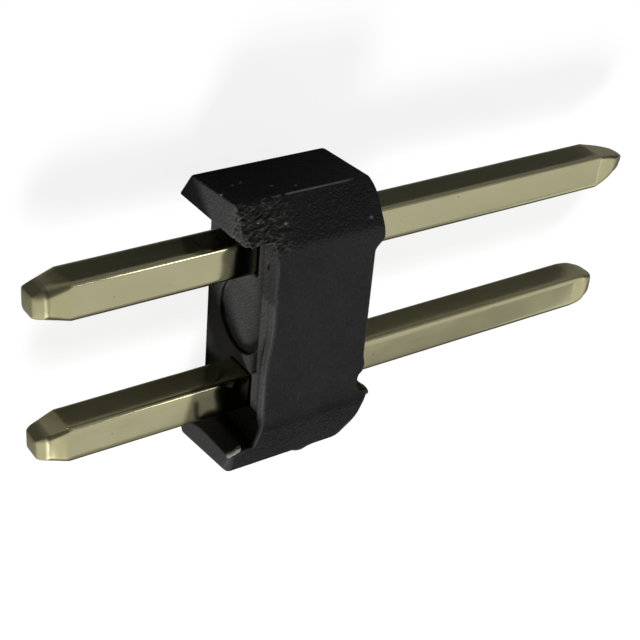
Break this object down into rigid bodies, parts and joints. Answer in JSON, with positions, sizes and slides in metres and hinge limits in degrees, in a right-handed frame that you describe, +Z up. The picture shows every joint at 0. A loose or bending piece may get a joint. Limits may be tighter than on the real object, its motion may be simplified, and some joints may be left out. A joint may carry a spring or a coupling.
{
  "type": "pin header strip",
  "caption": "Straight single-row pin header: square plated pins pressed through a black moulded housing with standoffs, snapped off a longer strip.",
  "frame": {"origin": "on the resting face, under the middle of the housing: midway between the pins along the row and midway through the housing along the pins", "axes": "+X along the pins from the board tails to the mating tips, +Y along the row from the second pin to the first, +Z up, out of the side face that is at the front in the picture"},
  "size_m": [0.0118, 0.0051, 0.0023],
  "materials": {
    "housing_plastic": "moulded black thermoplastic, satin on the moulded faces and torn where it was snapped",
    "pin_plating": "brass wire with a pale champagne-gold flash plating, drawn smooth"
  },
  "bodies": {
    "root": {"housing": "housing_plastic", "pin_1": "pin_plating", "pin_2": "pin_plating"}
  },
  "joints": []
}
